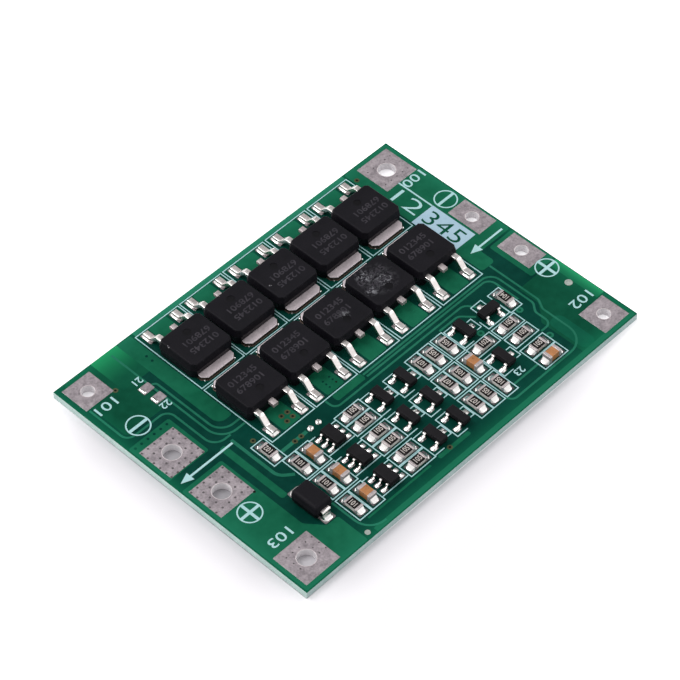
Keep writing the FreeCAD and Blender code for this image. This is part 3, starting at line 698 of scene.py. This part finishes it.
def diode_package():
    """The surge diode: its moulding stands on two straps bent under its ends."""
    skins = [block(rectangle(2.65, 3.95), drafted(0.28, 1.1, 2.1, 8.0, 8.0, 0.35), 0.3, "moulding", 4)]
    path = rounded([[1.575, 1.1], [2.275, 1.1], [2.275, 0.1], [1.275, 0.1]], 0.16, 5, closed=False)
    path = np.column_stack([np.zeros(len(path)), path])
    strap = carried(tile(1.25, 0.2, radius=0.05, steps=2), path, (-1, 0, 0), "tin")
    foot = tile(1.22, 1.0, 0.0, 1.86, steps=4)
    joint = solder(foot, tile(1.34, 1.6, 0.0, 2.1, 0.5, 4), eased(foot[:, 1] - 1.5, 0.8, 0.1, 0.6))
    land = plate(tile(1.6, 1.75, 0.0, 2.1, 0.15), 0.025, "flat", 0.0)
    return skins + both_ends([strap, joint, land])


def chip_package(height, cap, core, core_width, side, numbers=None):
    """A chip part along X: its ceramic, two plated caps, and their solder. The solder of its right
    end has a rounder shoulder on one side."""
    half = 1.0
    ceramic = [(0.05, 0.0), *crown(height - 0.05, 0.0, 0.04)]
    skins = [block(rectangle(2 * half - 0.1, core_width), ceramic, 0.05, core)]
    blank = rectangle(cap, 1.25, half - cap / 2, 0.0)
    metal = block(blank, [(0.0, 0.03), (0.03, 0.0), *crown(height, 0.0, 0.1)], 0.14, "cap")
    edge = tile(cap - 0.04, 1.17, half - cap / 2 - 0.01, 0.0, 0.16, 4)
    rise = eased(edge[:, 0] - half + cap, cap, 0.08, min(0.86 * height, 0.5))
    joint = solder(edge, tile(0.94, 1.2, half + 0.05, 0.0, 0.44, 4), rise, power=1.25)
    # The land is tin, darkened by painted shade round the solder.
    land = plate(tile(1.13, 1.34, half + 0.08), 0.025, "painted_shade_land", 0.0)
    skins += both_ends([metal, joint, land])
    skins += [dome(half + 0.2, 0.46 * side, 0.2, 0.24, 0.0, "solder"),
              dome(half + 0.36, 0.26 * side, 0.17, 0.14, 0.0, "solder")]
    if numbers:
        glaze = [(0.3, 0.0), *crown(height + 0.01, 0.0, 0.03)]
        skins += [block(rectangle(2 * half - 2 * cap, 1.13), glaze, 0.05, "glaze"),
                  figures(numbers, 0.7, 0.0, 0.0, height + 0.013, "mark", wide=0.78, bold=0.012)]
    return skins


SMALL_LEADS = [(-1, -0.95), (-1, 0.95), (1, 0.0)]
CIRCUIT_LEADS = [(side, step * 0.95) for side in (-1, 1) for step in (-1, 0, 1)]
VALUES = {"filter_resistor": "101", "level_resistor": "105", "gate_resistor": "107",
          "pull_resistor": "105", "bias_resistor": "105", "bridge_resistor": "102",
          "sense_resistor": "105", "side_resistor": "104", "supply_resistor": "102"}
SMALL = small_package(1.25, 2.8, 1.0, 1.2, SMALL_LEADS, 0.42)
CIRCUIT = small_package(1.6, 2.8, 1.05, 1.4, CIRCUIT_LEADS, 0.3)
# Dark plates of painted shade under the chip's leads, where their shadow falls on the board.
CIRCUIT += [plate(tile(0.75, 2.9, x, 0.0, 0.12), 0.004, "shade", 0.0) for x in (-1.15, 1.15)]

PACKAGES = {"protection_ic": CIRCUIT, "surge_diode": diode_package()}

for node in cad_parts:
    low, high = box_of(node)
    x, y, _ = (low + high) / 2
    side, turn = (1, 90) if high[1] - low[1] > high[0] - low[0] else (-1, 0)
    family = node.rstrip("_0123456789")
    if family in VALUES:
        kind, slot = "chip", "resistor_body"
        skins = chip_package(0.55, 0.35, "alumina", 1.17, side, VALUES[family])
    elif "capacitor" in family:
        kind, slot = "chip", "capacitor_body"
        skins = chip_package(0.95, 0.45, "capacitor", 1.15, side)
    elif family in PACKAGES or family.endswith("transistor"):
        kind, slot = "moulded", "small_package"
        skins = PACKAGES.get(family, SMALL)
        turn = 90 if family == "detect_transistor" else 0
    else:
        continue
    make_piece(f"{kind}_{node}", shifted(skins, x, y, TOP, turn), [node])


# The board and its wire terminals

def board_finish(normals):
    """Mask on the level faces, cut laminate on the walls, and paler walls at the two ends, whose paleness
    is painted light.
    """
    walls = np.where(np.abs(normals[:, 0]) > 0.9, "end_cut", "laminate")
    return np.where(np.abs(normals[:, 2]) < 0.4, walls, "mask")


def land_finish(normals):
    """Tin on the level faces, and brighter plating down the hole."""
    return np.where(np.abs(normals[:, 2]) < 0.4, "barrel", "land")


NARROW_HOLE, WIDE_HOLE = 0.8, 1.1


def wire_hole(node):
    """The middle and the radius of a terminal's wire hole. The wide terminals have the wide hole."""
    low, high = TERMINALS[node]
    x, y, _ = (low + high) / 2
    return x, y, WIDE_HOLE if high[0] - low[0] > 5 else NARROW_HOLE


worked("circuit_board", "laminate_board", board_finish, 0.03)
TERMINALS = {node: box_of(node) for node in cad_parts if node.endswith("_terminal")}
for node in TERMINALS:
    worked(node, node.replace("_terminal", "_tinned_land"), land_finish, 0.02)


# Copper under the mask: pours, tracks and drilled holes

def pour(corners, radius=0.3, wires=(), finish="pour", top=POUR_TOP):
    """A flat layer of copper with rounded corners. It ends 0.3 mm short of the wires' holes in it."""
    places = [wire_hole(f"{wire}_terminal") for wire in wires]
    holes = [circle(x, y, hole + 0.3) for x, y, hole in places]
    return filled([rounded(corners, radius, 6), *holes], SUNK, top, finish)


def track(corners, radius=1.0, width=0.3, finish="track"):
    """A track through corners, each of them turned as an arc."""
    return ribbon(rounded(corners, radius, 8, closed=False), width, TRACK_TOP, finish)


LEFT, RIGHT, NEAR, FAR = -27.3, 27.3, -19.85, 19.85
POWER_X = [-12.05 + 7.05 * number for number in range(5)]

mid = [
    pour(span(-26.1, -19.55, 9.35, FAR), 0.5, ["cell_1"], "mid", MID_TOP),
    pour([[18.7, NEAR], [RIGHT, NEAR], [RIGHT, -7.6], [20.75, -7.6], [20.75, -10.6], [19.8, -11.8],
          [18.7, -12.9]], 0.3, ["cell_2"], "mid", MID_TOP),
    pour(span(19.1, 21.2, -19.3, -13.4), 0.9, finish="thin", top=MID_TOP + 0.003),
    # Painted light: a paler patch of mask near the board's far edge.
    pour(span(-21.8, -17.75, 14.4, 19.97), 0.1, finish="bare", top=MID_TOP + 0.003),
    # Painted light: a bright strip of mask along the right rim.
    pour(span(26.1, 27.4, -15.0, -7.6), 0.1, finish="rim", top=MID_TOP + 0.003),
]
pours = [
    pour(span(-17.8, -15.7, 3.15, FAR), (1.1, 0.3, 0.3, 0.3)),
    pour(span(LEFT, -21.1, 1.35, 7.85), wires=["discharge_minus"]),
    pour([[LEFT, NEAR], [-17.8, NEAR], [-17.8, -15.3], [-19.5, -15.3], [-21.2, -13.2], [-21.2, -0.65],
          [LEFT, -0.65]], (0.3, 0.3, 0.3, 0.8, 0.8, 0.3, 0.3), ["discharge_plus", "pack_plus"]),
    pour([[19.9, -2.65], [22.15, -2.65], [22.15, -0.4], [RIGHT, -0.4], [RIGHT, FAR], [19.9, FAR]],
         (0.4, 0.5, 0.2, 0.3, 0.3, 0.3), ["charge_minus", "pack_minus"]),
    pour(span(23.3, RIGHT, -7.35, -0.7), wires=["charge_plus"]),
    pour(span(-16.3, 27.2, NEAR, -19.2), 0.2),
    pour(span(-15.3, 19.6, 19.32, 19.97), 0.05, finish="track"),
    pour(span(-6.1, -1.45, -4.1, -3.08), 0.3),
    pour(span(-4.2, 0.9, -18.05, -17.5), 0.25),
    pour(span(-20.3, -19.4, -9.3, 0.6), 0.3),
]
for x in POWER_X:
    pours.append(pour(span(x - 1.3, x + 1.45, -2.72, 0.8)))
    pours.append(pour(span(x - 1.5, x + 1.3, 15.9, 19.05)))
tracks = [
    track([[-26.5, 15.0], [-26.5, 8.8], [-20.35, 8.8], [-20.35, 1.2], [-17.9, 1.2]],
          [1, 1.1, 1.2, 1.6, 1]),
    track([[-19.2, 19.2], [-19.2, 1.25], [-15.6, 1.25]], 2.3),
    track([[-19.2, 12.75], [-18.5, 12.75], [-18.5, 2.1], [-15.6, 2.1]], [1, 0.5, 1.9, 1]),
    track([[-18.4, 0.6], [-18.4, -6.7], [-16.9, -7.9]], 1.6, 0.45),
    track([[-15.75, -4.62], [-11.7, -4.62]], 1.0, 0.5),
    track([[-1.35, -3.48], [20.35, -3.48], [20.35, -10.2], [19.45, -11.3], [19.45, -13.75],
           [17.7, -13.75]], [1, 1.5, 0.8, 0.8, 0.9, 1]),
    track([[-1.2, -3.95], [19.55, -3.95], [19.55, -8.6]], 1.1),
    track([[-7.1, -3.1], [-7.1, -4.65], [14.4, -4.65], [15.4, -6.2]], [1, 0.9, 1.2, 1]),
    track([[9.5, -5.32], [12.7, -5.32], [14.1, -6.9]], 1.0),
    track([[21.15, -2.7], [21.15, -10.3], [20.4, -11.6], [20.4, -18.25], [7.5, -18.25], [7.5, -17.3]],
          [1, 0.9, 0.9, 2.7, 0.9, 1]),
    track([[-16.95, -13.6], [-16.95, -19.35], [-14.4, -19.35]], 2.3),
    track([[-15.7, -17.85], [-5.6, -17.85]], finish="pour"),
    track([[9.4, -16.75], [13.6, -16.75]]),
]
make_piece("buried_copper", mid)
make_piece("copper_pours", pours)
make_piece("copper_tracks", tracks)


def via(x, y, ring=0.34, hole=0.15, steps=20, finishes=("ring", "drilled")):
    """A drilled hole in a ring, drawn as a flat dark disc of painted shade for the hole's depth. The mask
    leaves it open, unless the finishes say otherwise.
    """
    return [plate(circle(x, y, ring, steps), TRACK_TOP + 0.002, finishes[0]),
            plate(circle(x, y, hole, 16), TRACK_TOP + 0.004, finishes[1])]


def drilled_field(lefts, nears, finish="drilled", radius=0.12, clear=(0.0, 0.0, 0.0)):
    """Rows and columns of small holes in a terminal, apart from those in a circle left clear."""
    places = np.array([(x, y) for x in lefts for y in nears])
    far_off = np.hypot(places[:, 0] - clear[0], places[:, 1] - clear[1]) > clear[2]
    return [plate(circle(x, y, radius, 12), LAND_TOP + 0.002, finish) for x, y in places[far_off]]


COLUMNS = [-26.65, -25.7, -24.72, -23.76, -22.76, -21.8]
# Fields in the drilled finish are flat dark discs of painted shade for open holes.
FIELDS = [(COLUMNS, [1.6, 2.4, 3.4, 4.4, 5.4, 6.35], "dimple", 0.14, (-24.2, 3.97, 1.3)),
          (COLUMNS, [-1.5, -2.45, -3.45, -4.42, -5.45], "dimple", 0.14, (-24.2, -3.78, 1.3)),
          ([-21.75], [-6.4], "drilled", 0.16), ([-4.2], [-2.0]),
          ([-5.25, -4.22], [-2.0, -1.45, -0.9], "mask", 0.13, (-4.2, -2.0, 0.1)),
          ([-16.5], [15.3, 16.25], "mask", 0.17), (COLUMNS, [7.38], "mask", 0.17),
          (COLUMNS[1:], [-15.2, -16.3, -17.3], "dimple", 0.1, (-24.2, -16.75, 1.4)),
          ([22.3, 23.3, 24.3, 25.3, 26.2], [15.15, 18.1], "dimple", 0.1, (24.2, 16.75, 1.4))]
OPEN_VIAS = [(-13.6, -4.65), (-12.6, -4.65), (-16.8, -1.25), (20.4, 18.15), (-2.25, -17.65),
             (-22.45, 15.1), (-12.1, -1.05), (-11.2, -1.1), (-12.15, -2.0), (-11.2, -1.95)]
vias = [skin for place in OPEN_VIAS for skin in via(*place)]
COVERED_VIAS = [(12.6, -8.95), (18.4, -9.8), (17.95, -14.85)]
vias += [skin for place in COVERED_VIAS for skin in via(*place, 0.46, 0.2, 24, ("track", "mid"))]
vias += [skin for field in FIELDS for skin in drilled_field(*field)]
make_piece("drilled_holes", vias)


# Bare lands and solder without a part

def tinned_pad(x, y, width, length):
    """A bare land with a ridge of solder along its left side."""
    land = [(SUNK, 0.0), *crown(TOP + 0.1, 0.0, 0.09)]
    ridge = [(TOP, 0.0), *crown(TOP + 0.2, 0.0, 0.2)]
    return [block(rectangle(width, length, x, y), land, 0.12, "land"),
            block(rectangle(0.5, length - 0.06, x - width / 2 + 0.26, y), ridge, 0.2, "solder")]


def lip(node):
    """A bead of tin round the mouth of a terminal's hole: half a circle of points, carried round it."""
    x, y, hole = wire_hole(node)
    width, height = 0.04, 0.035
    rings = [at_height(circle(x, y, hole + 0.05 + width * np.cos(angle), 40),
                       LAND_TOP - 0.005 + height * np.sin(angle)) for angle in np.linspace(0, np.pi, 7)]
    return skin(np.array(rings), "bead", closed=True)


points = [lip(node) for node in TERMINALS]
points += [*tinned_pad(-19.85, 12.78, 1.62, 1.2), *tinned_pad(-19.8, 10.85, 1.62, 1.2)]
points += [dome(x, -4.62, 0.42, 0.24, TOP, "solder") for x in (-11.1, -9.82)]
points += [plate(circle(25.6, -11.1, 0.48), LAND_TOP, "point"),
           plate(circle(-17.15, -19.15, 0.34), LAND_TOP, "point")]
make_piece("bare_lands", points)

SPECKS = [(-15.1, 13.9, 0.1), (-15.0, 14.15, 0.07), (-0.45, 12.3, 0.09), (-0.3, 12.15, 0.06)]
make_piece("flux_specks", [dome(x, y, size, 0.02, TOP + BODY["height"] - 0.002, "speck", 3)
                           for x, y, size in SPECKS])


# Print on the board: outlines of the parts, polarity signs and figures

LINE = 0.15


def lines(*paths):
    """Open printed lines."""
    return [ribbon(path, LINE, PRINT_TOP - 0.003, "print") for path in paths]


def bracket(open_x, shut_x, near, far):
    """Three sides of a box, open on the side towards the part."""
    return lines([[open_x, near], [shut_x, near], [shut_x, far], [open_x, far]])


def polarity(x, y, plus):
    """A polarity sign: a ring with a bar, and a second bar across it for plus."""
    radius = 1.4
    skins = [ribbon(circle(x, y, radius), 0.2, PRINT_TOP, "print", closed=True),
             ribbon([[x - radius, y], [x + radius, y]], 0.4, PRINT_TOP - 0.002, "print")]
    if plus:
        skins.append(ribbon([[x, y - radius], [x, y + radius]], 0.4, PRINT_TOP - 0.004, "print"))
    return skins


def arrow(tail, tip, y):
    """A long arrow along X, with a filled head."""
    way = np.sign(tip - tail)
    head = np.array([[tip, y], [tip - way * 1.5, y + 0.62 * way], [tip - way * 1.5, y - 0.62 * way]])
    shaft = ribbon([[tail, y], [tip - way * 1.45, y]], 0.3, PRINT_TOP - 0.002, "print")
    return [shaft, plate(head, PRINT_TOP, "print")]


# Printed boxes: the left and right of each column, and the near and far of each row
BOXES = [
    ([(-15.45, -8.7), (-8.4, -1.7), (-1.35, 5.3), (5.7, 12.4), (12.8, 19.6)],
     [(8.25, 19.2), (-2.95, 7.9)]),
    ([(-16.55, -14.65), (-14.5, -12.55), (3.3, 5.3), (5.4, 7.3), (7.6, 9.5)],
     [(-9.35, -5.6), (-13.35, -9.65), (-17.45, -13.7)]),
    ([(-17.7, -15.75)], [(-5.5, -1.8)]),
    ([(-8.25, -4.3)], [(-7.3, -5.55), (-9.2, -7.4), (-11.35, -9.65), (-13.25, -11.5), (-15.4, -13.7),
                       (-17.4, -15.55)]),
    ([(9.55, 13.4)], [(-11.3, -9.5)]),
    ([(13.7, 17.6)], [(-11.3, -9.6), (-13.45, -11.6), (-15.9, -14.0), (-17.9, -16.0)]),
    ([(17.4, 19.3)], [(-9.4, -5.7)]),
]
ROWS = [-7.45, -11.5, -15.55]
outlines = [ribbon(span(left, right, near, far), LINE, PRINT_TOP, "print", closed=True)
            for columns, rows in BOXES for left, right in columns for near, far in rows]
for y in ROWS:
    outlines += lines([[-12.5, y + 1.6], [-11.6, y + 1.6]], [[-12.5, y - 1.45], [-8.4, y - 1.45]],
                      [[-9.1, y + 1.6], [-8.3, y + 1.6]])
    outlines += lines([[-4.2, y + 1.68], [-2.75, y + 1.68]], [[-4.2, y - 1.72], [-2.75, y - 1.72]])
    outlines += bracket(1.15, -0.5, y - 1.72, y + 1.68)
    outlines += bracket(-1.4, -0.65, y - 0.86, y + 0.78)
    outlines += bracket(2.45, 3.15, y - 0.86, y + 0.78)
for y in (-7.45, -13.5):
    outlines += bracket(11.2, 9.7, y - 1.72, y + 1.62)
    outlines += bracket(12.7, 13.4, y - 0.86, y + 0.78)
outlines += lines([[14.65, -6.6], [14.65, -5.55], [16.35, -5.55], [16.35, -6.6]],
                  [[13.75, -7.7], [13.75, -9.2], [17.35, -9.2], [17.35, -7.7]])
outlines.append(ribbon([[23.6, 8.75], [23.6, 14.2]], 0.24, PRINT_TOP, "print"))
make_piece("printed_outlines", outlines)

signs = [*polarity(-24.15, 9.55, False), *polarity(-24.1, -8.05, True),
         *polarity(25.55, 8.3, False), *polarity(25.6, -7.75, True),
         *arrow(-18.6, -26.6, 0.2), *arrow(26.6, 21.0, 0.2),
         plate(span(19.9, 23.7, 1.85, 8.7), PRINT_TOP - 0.001, "panel"),
         figures("345", 2.4, 21.85, 5.3, PRINT_TOP + 0.001, "mid", -90.0, 1.25, -0.01),
         figures("12", 2.4, 21.85, 11.6, PRINT_TOP, "print", -90.0, 1.6, -0.03)]
signs += [figures(words, 1.35, x, y, PRINT_TOP, "print", 180.0, 1.35, 0.01)
          for words, x, y in (("101", -24.75, 14.2), ("103", -24.1, -12.75), ("100", 25.55, 13.45),
                              ("102", 24.75, -13.85))]
signs += [figures(words, 0.95, x, y, PRINT_TOP, "print", 180.0, 1.1, 0.02)
          for words, x, y in (("21", -19.9, 14.3), ("22", -19.9, 9.6), ("23", 11.4, -15.85))]
make_piece("printed_signs", signs)


# The setting: floor, lamps, sky and camera

def emptied(holder):
    """The node tree of a material or a world, cleared of what comes with it."""
    holder.use_nodes = True
    holder.node_tree.nodes.clear()
    return holder.node_tree


def swelling(tree, value, start, end, top):
    """A share that grows from 0 to its top as the square of how far a value has come."""
    share = ramp(tree, value, start, end)
    return maths(tree, "MULTIPLY", share, share, top)


def level_floor(size):
    """A pale floor far wider than the object. The camera and mirrors see it near white, by a glow
    that rises within a few millimetres of the two sides where the object's shadow falls, sooner
    towards their ends, and at once at the other two. Near those two sides the shadow is partly cast
    by the lamps and partly painted, by the glow held back. Under the board, where only the wire holes
    show it, its left part has painted shade in its colour. Places are in metres here."""
    painted_floor_shade, pale = (0.36, 0.35, 0.37, 1), (0.71, 0.69, 0.72, 1)
    left_side, left_corner = (-0.0275, -0.003, 0.0), (-0.0275, -0.02, 0.0)
    mesh = bpy.data.meshes.new("floor")
    mesh.from_pydata(at_height(rectangle(2 * size, 2 * size), -2e-5), [], [[0, 1, 2, 3]])
    material = bpy.data.materials.new("Pale floor")
    tree = emptied(material)

    place = add(tree, "TexCoord").outputs["Object"]
    axes = add(tree, "SeparateXYZ", {0: place}).outputs
    half = (*BOARD[:2] / 2 * MM, 1.0)
    beyond = vectors(tree, "MAXIMUM", vectors(tree, "SUBTRACT", place, half))
    other_way = vectors(tree, "MULTIPLY", place, (-1.0, -1.0, -1.0))
    before = vectors(tree, "MAXIMUM", vectors(tree, "SUBTRACT", other_way, half))
    apart = vectors(tree, "ADD", before, vectors(tree, "MULTIPLY", beyond, (6.0, 6.0, 6.0)))
    away = vectors(tree, "LENGTH", apart, output="Value")
    outside = maths(tree, "MULTIPLY", away, 1e4, clamp=True)
    inside = maths(tree, "SUBTRACT", 1.0, outside)
    from_side = vectors(tree, "DISTANCE", place, left_side, "Value")
    from_corner = vectors(tree, "DISTANCE", place, left_corner, "Value")

    # Painted shade under the board's left part: the floor's colour darkens towards the middle of the left
    # side.
    clear = maths(tree, "MAXIMUM", outside, ramp(tree, from_side, 0.004, 0.024, kind="SMOOTHSTEP"))
    paint = add(tree, "BsdfDiffuse", {"Color": blended(tree, clear, painted_floor_shade, pale)}).outputs[0]
    light = add(tree, "LightPath").outputs
    seen = maths(tree, "MAXIMUM", *(light[f"Is {ray} Ray"] for ray in ("Camera", "Glossy", "Transmission")))
    # Painted shadow: the glow is held back near the two sides where the shadow falls, less so towards their
    # corners.
    ends = maths(tree, "ADD", swelling(tree, axes["X"], 0.008, 0.0275, 0.5),
                 swelling(tree, axes["Y"], 0.009, 0.0195, 0.38),
                 swelling(tree, from_corner, 0.008, 0.0, 0.3))
    under = ramp(tree, from_side, 0.015, 0.024, high=0.38, kind="SMOOTHSTEP")
    share = maths(tree, "ADD", ramp(tree, away, 0.0, 0.0048, high=0.24, kind="SMOOTHSTEP"),
                  ramp(tree, away, 0.006, 0.07, high=0.36, kind="SMOOTHSTEP"),
                  maths(tree, "MULTIPLY", under, inside), maths(tree, "MULTIPLY", outside, ends))
    strength = maths(tree, "MULTIPLY", seen, share)
    glow = add(tree, "Emission", {"Color": (1, 1, 1, 1), "Strength": strength}).outputs[0]
    both = add(tree, "AddShader", {0: paint, 1: glow}).outputs[0]
    tree.links.new(both, add(tree, "OutputMaterial").inputs["Surface"])
    mesh.materials.append(material)
    floor = in_scene("floor", mesh)


def sky(level, sideways):
    """An even sky. The camera and glass see it white. Mirrors see two white screens, to the left and
    right of the camera's line, and a grey ceiling between them."""
    world = bpy.data.worlds.new("Studio")
    bpy.context.scene.world = world
    tree = emptied(world)
    way = add(tree, "TexCoord").outputs["Generated"]
    aside = maths(tree, "ABSOLUTE", vectors(tree, "DOT_PRODUCT", way, sideways, "Value"), 0.0)
    light = add(tree, "LightPath").outputs
    clear = maths(tree, "MAXIMUM", light["Is Camera Ray"], light["Is Transmission Ray"])
    screens = ramp(tree, aside, 0.15, 0.5, 0.42, 1.1)
    shiny, white, ambient = (
        add(tree, "Background", {"Color": (1, 1, 1, 1), "Strength": strength}).outputs[0]
        for strength in (screens, 1.0, level))
    mirrored = add(tree, "MixShader", {0: light["Is Glossy Ray"], 1: ambient, 2: shiny}).outputs[0]
    mixed = add(tree, "MixShader", {0: clear, 1: mirrored, 2: white}).outputs[0]
    tree.links.new(mixed, add(tree, "OutputWorld").inputs["Surface"])


def soft_lamp(name, place, size, power):
    """A square area lamp that faces the middle of the board's underside."""
    data = bpy.data.lights.new(name, "AREA")
    data.size = size
    data.energy = power
    lamp = in_scene(name, data)
    lamp.location = place
    lamp.rotation_mode = "QUATERNION"
    lamp.rotation_quaternion = Vector(place).to_track_quat("Z", "Y")


def photo_camera():
    """The camera where the photograph was taken from: its place, and its right, up and back axes."""
    data = bpy.data.cameras.new("camera")
    data.lens = 145.99
    data.sensor_width = 36.0
    data.clip_start = 0.01
    data.clip_end = 20.0
    camera = in_scene("camera", data)
    back = unit(np.array([-0.47249, -0.44876, 0.75853]))
    right = np.array([0.69167, -0.72220, 0.00358])
    right = unit(right - back * (right @ back))
    turn = Matrix(np.column_stack([right, np.cross(back, right), back]).tolist())
    place = Matrix.Translation(np.array([-149.09, -140.17, 241.35]) * MM)
    camera.matrix_world = place @ turn.to_4x4()
    bpy.context.scene.camera = camera


level_floor(3.0)
sky(0.62, (0.69, -0.72, 0.0))
soft_lamp("key lamp", (-0.25, 0.45, 0.75), 0.5, 4.0)
soft_lamp("fill lamp", (0.5, -0.2, 0.6), 0.4, 1.2)
photo_camera()
bpy.context.scene.view_settings.view_transform = "Standard"
